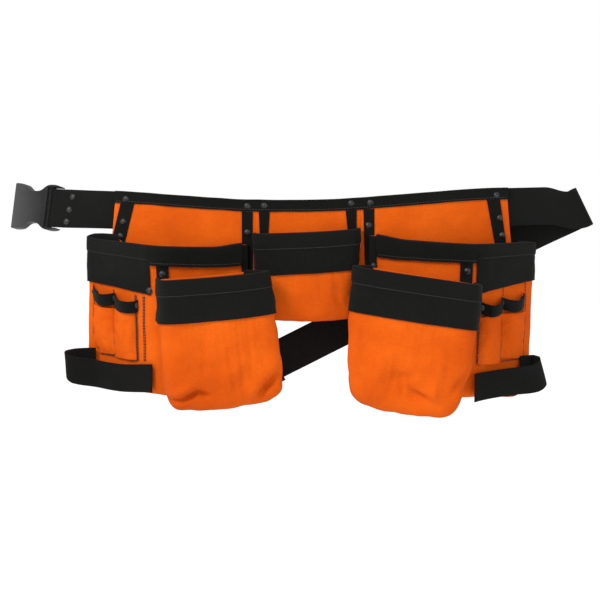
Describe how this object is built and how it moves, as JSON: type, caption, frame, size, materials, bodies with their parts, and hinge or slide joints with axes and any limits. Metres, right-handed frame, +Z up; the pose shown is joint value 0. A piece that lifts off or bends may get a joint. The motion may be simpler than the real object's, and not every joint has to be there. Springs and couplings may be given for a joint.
{
  "type": "tool belt",
  "caption": "Canvas carpenter's tool belt with paired pocket wings, a centre pocket, hammer and tool loops, and a side-release buckle on a folded-back webbing strap.",
  "frame": {"origin": "on the back face of the belt webbing, at the middle of the belt's length and height", "axes": "+X along the belt to the wearer's left end with the folded strap, +Y from the belt towards the wearer, +Z up"},
  "size_m": [0.7983, 0.1942, 0.2925],
  "materials": {
    "canvas": "matte plain-weave orange canvas",
    "webbing": "matt black woven webbing",
    "buckle": "satin black moulded plastic",
    "rivet": "dark domed rivet"
  },
  "bodies": {
    "belt": {"belt_webbing": "webbing", "buckle_loop": "webbing", "centre_band": "webbing", "centre_pocket": "canvas", "hammer_loop_left": "webbing", "hammer_loop_right": "webbing", "panel_centre": "canvas", "panel_left": "canvas", "panel_right": "canvas", "pocket_binding_left": "webbing", "pocket_binding_right": "webbing", "pocket_left": "canvas", "pocket_right": "canvas", "pouch_band_left": "webbing", "pouch_band_right": "webbing", "pouch_left": "canvas", "pouch_right": "canvas", "pouch_strip_inner_left": "webbing", "pouch_strip_inner_right": "webbing", "pouch_strip_outer_left": "webbing", "pouch_strip_outer_right": "webbing", "rivet_centre_left": "rivet", "rivet_centre_right": "rivet", "rivet_left_bottom": "rivet", "rivet_left_join_bottom": "rivet", "rivet_left_join_top": "rivet", "rivet_left_middle": "rivet", "rivet_left_top": "rivet", "rivet_loop_bottom": "rivet", "rivet_loop_middle": "rivet", "rivet_loop_top": "rivet", "rivet_right_join_bottom": "rivet", "rivet_right_join_top": "rivet", "rivet_right_middle": "rivet", "rivet_right_top": "rivet", "side_band_left": "webbing", "side_band_right": "webbing", "strap_fold": "webbing", "strip_centre_left": "webbing", "strip_centre_right": "webbing", "strip_left_inner": "webbing", "strip_left_outer": "webbing", "strip_right_inner": "webbing", "strip_right_outer": "webbing", "tool_channel_front_left": "canvas", "tool_channel_front_right": "canvas", "tool_channel_rear_left": "canvas", "tool_channel_rear_right": "canvas", "tool_loops_left": "webbing", "tool_loops_right": "webbing", "top_binding": "webbing"},
    "receptacle": {"receptacle": "buckle"},
    "strap_tail": {"strap_tail": "webbing"},
    "plug": {"plug_body": "buckle"},
    "prong_upper": {"plug_prong_upper": "buckle"},
    "prong_lower": {"plug_prong_lower": "buckle"}
  },
  "joints": [
    {"name": "receptacle_swing", "type": "hinge", "parent": "belt", "child": "receptacle", "pos_m": [-0.34825, 0.05858, 0.0105], "axis": [0.1081, 0.2169, 0.9702], "range_deg": [-45, 45]},
    {"name": "strap_unfold", "type": "hinge", "parent": "belt", "child": "strap_tail", "pos_m": [0.374, 0.06675, 0.0106], "axis": [0.4521, 0.0633, -0.8897], "range_deg": [0, 165], "deforming": ["strap_fold"]},
    {"name": "strap_adjust", "type": "slide", "parent": "strap_tail", "child": "plug", "axis": [0.8925, 0.1127, 0.4368], "range_m": [0, 0.25]},
    {"name": "prong_upper_squeeze", "type": "hinge", "parent": "plug", "child": "prong_upper", "pos_m": [-0.07894, 0.0191, -0.19132], "axis": [0.128, -0.9918, -0.0055], "range_deg": [0, 7], "stiffness_Nm_per_rad": 0.25},
    {"name": "prong_lower_squeeze", "type": "hinge", "parent": "plug", "child": "prong_lower", "pos_m": [-0.06406, 0.02119, -0.22226], "axis": [-0.128, 0.9918, 0.0055], "range_deg": [0, 7], "stiffness_Nm_per_rad": 0.25}
  ]
}
